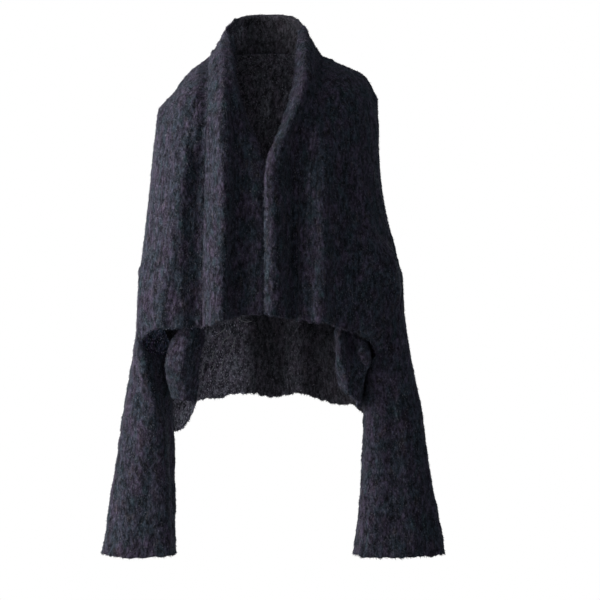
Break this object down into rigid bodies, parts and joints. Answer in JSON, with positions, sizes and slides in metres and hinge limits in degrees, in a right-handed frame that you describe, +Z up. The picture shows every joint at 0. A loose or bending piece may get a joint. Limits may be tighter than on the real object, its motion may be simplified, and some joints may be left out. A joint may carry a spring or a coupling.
{
  "type": "cardigan",
  "caption": "Cropped open-front shawl cardigan in thick brushed dark knit, with dropped shoulders and long straight sleeves.",
  "frame": {"origin": "midway between the two shoulder tips, at the height where the wearer's shoulders carry the garment", "axes": "+Z up, -Y towards the front opening, +X towards the wearer's left"},
  "size_m": [0.5468, 0.2537, 0.8751],
  "materials": {
    "knit": "thick brushed mohair knit, matt, charcoal navy with darker and purple flecks"
  },
  "bodies": {
    "root": {"collar": "knit", "back": "knit", "front_right": "knit", "front_left": "knit", "side_right": "knit", "side_left": "knit", "sleeve_right": "knit", "sleeve_left": "knit"}
  },
  "joints": []
}
